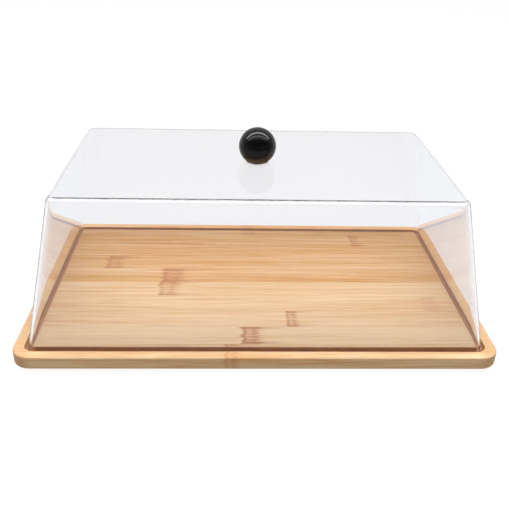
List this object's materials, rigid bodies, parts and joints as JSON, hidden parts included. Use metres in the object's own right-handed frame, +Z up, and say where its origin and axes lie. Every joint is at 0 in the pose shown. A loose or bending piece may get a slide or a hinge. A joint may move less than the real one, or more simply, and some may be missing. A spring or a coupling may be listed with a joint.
{
  "type": "cheese dome",
  "caption": "Clear rectangular cheese cover with sloping walls and a black ball knob, standing in the groove of a bamboo serving board.",
  "frame": {"origin": "on the table, below the middle of the board, at the level of the feet's undersides", "axes": "+X along the board's long side, +Y across it, +Z up the way the cover lifts; the object looks the same from -Y and +Y"},
  "size_m": [0.39, 0.245, 0.1624],
  "materials": {
    "bamboo": "oiled, fine straight grain with darker nodes",
    "clear_acrylic": "clear, polished",
    "black_plastic": "glossy black phenolic",
    "black_rubber": "matt",
    "clear_rubber": "translucent silicone",
    "stainless_steel": "bright stainless",
    "brass": "machined"
  },
  "bodies": {
    "base": {"board": "bamboo", "foot_1": "black_rubber", "foot_2": "black_rubber", "foot_3": "black_rubber", "foot_4": "black_rubber", "foot_screw_1": "stainless_steel", "foot_screw_2": "stainless_steel", "foot_screw_3": "stainless_steel", "foot_screw_4": "stainless_steel"},
    "cover_body": {"cover": "clear_acrylic", "inner_washer": "clear_rubber", "knob_screw": "stainless_steel"},
    "gasket_body": {"knob_gasket": "black_rubber"},
    "knob_body": {"knob": "black_plastic", "knob_insert": "brass"}
  },
  "joints": [
    {"name": "cover_lift", "type": "slide", "parent": "base", "child": "cover_body", "axis": [0, 0, 1], "range_m": [0, 0.16]},
    {"name": "knob_rise", "type": "slide", "parent": "cover_body", "child": "gasket_body", "axis": [0, 0, 1], "range_m": [0, 0.0077]},
    {"name": "knob_turn", "type": "hinge", "parent": "gasket_body", "child": "knob_body", "pos_m": [0, 0, 0.1346], "axis": [0, 0, 1], "range_deg": [0, 3960]}
  ],
  "couplings": [
    {"joint": "knob_rise", "follows": "knob_turn", "m_per_rad": 0.00011141}
  ]
}
